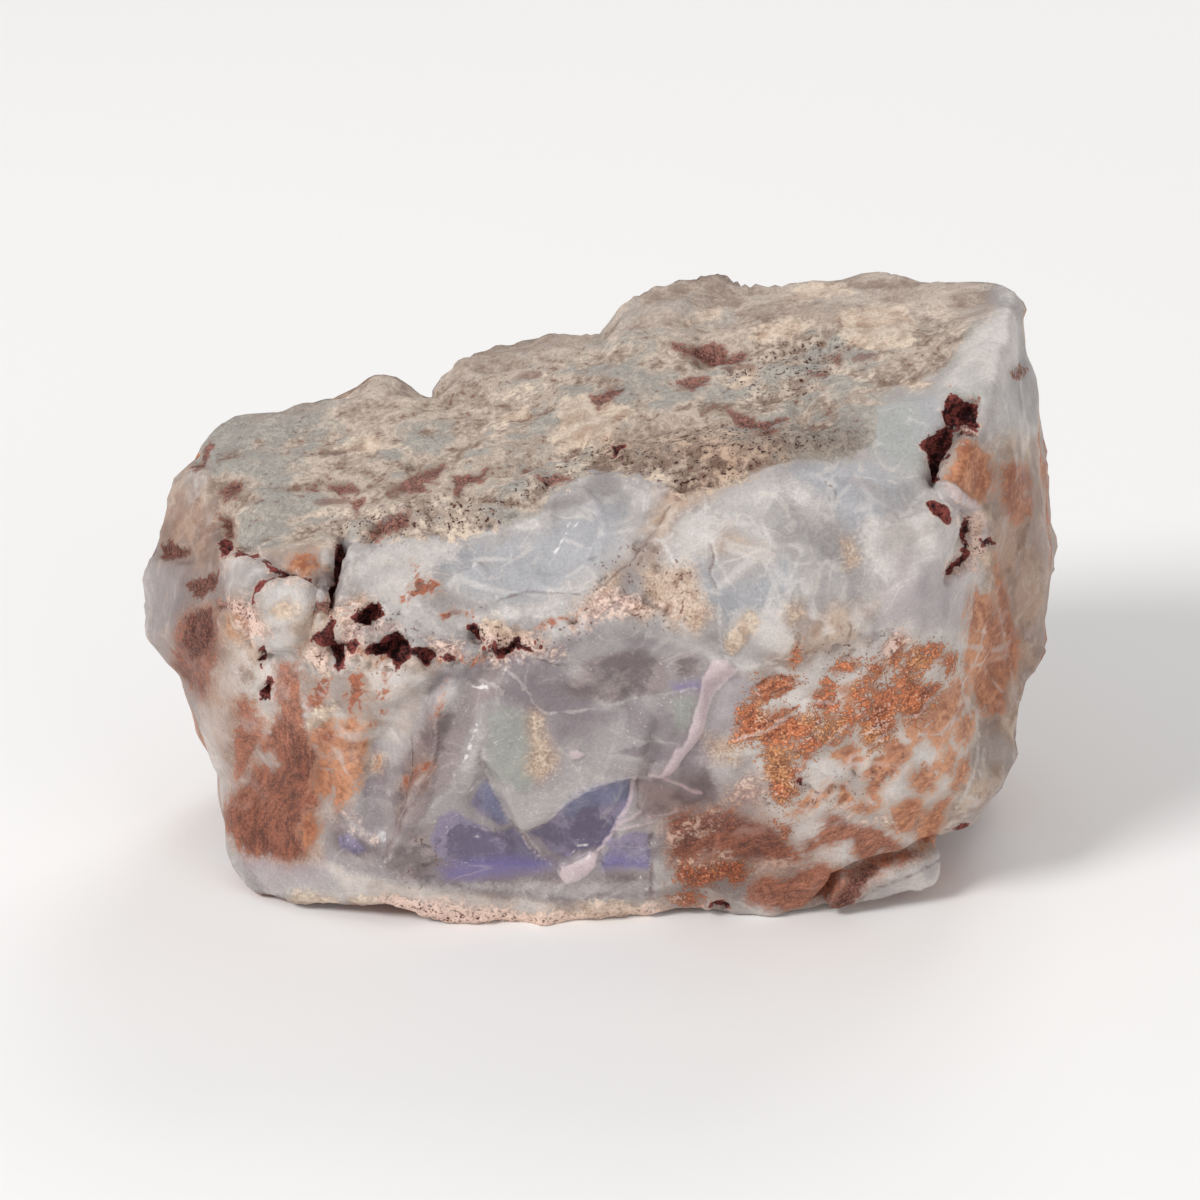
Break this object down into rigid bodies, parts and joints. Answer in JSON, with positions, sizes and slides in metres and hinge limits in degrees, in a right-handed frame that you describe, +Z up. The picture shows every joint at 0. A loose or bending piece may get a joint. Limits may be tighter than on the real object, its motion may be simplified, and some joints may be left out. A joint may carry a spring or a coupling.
{
  "type": "rough opal",
  "caption": "Rough opal: a broken block of natural opal with a weathered skin on top, glassy fracture faces and iron-stained crevices, lying on a small flat spot",
  "frame": {"origin": "centre of the stone's box in plan, at the height of the flat spot that it lies on", "axes": "+Z up, +X along the stone's length to the right as the picture sees it, -Y out of the broken front face that shows the opal"},
  "size_m": [0.0406, 0.0234, 0.0244],
  "materials": {
    "opal": "natural fracture: glassy and slightly translucent on the broken faces, chalky on the weathered skin"
  },
  "bodies": {
    "root": {"rough_opal": "opal"}
  },
  "joints": []
}
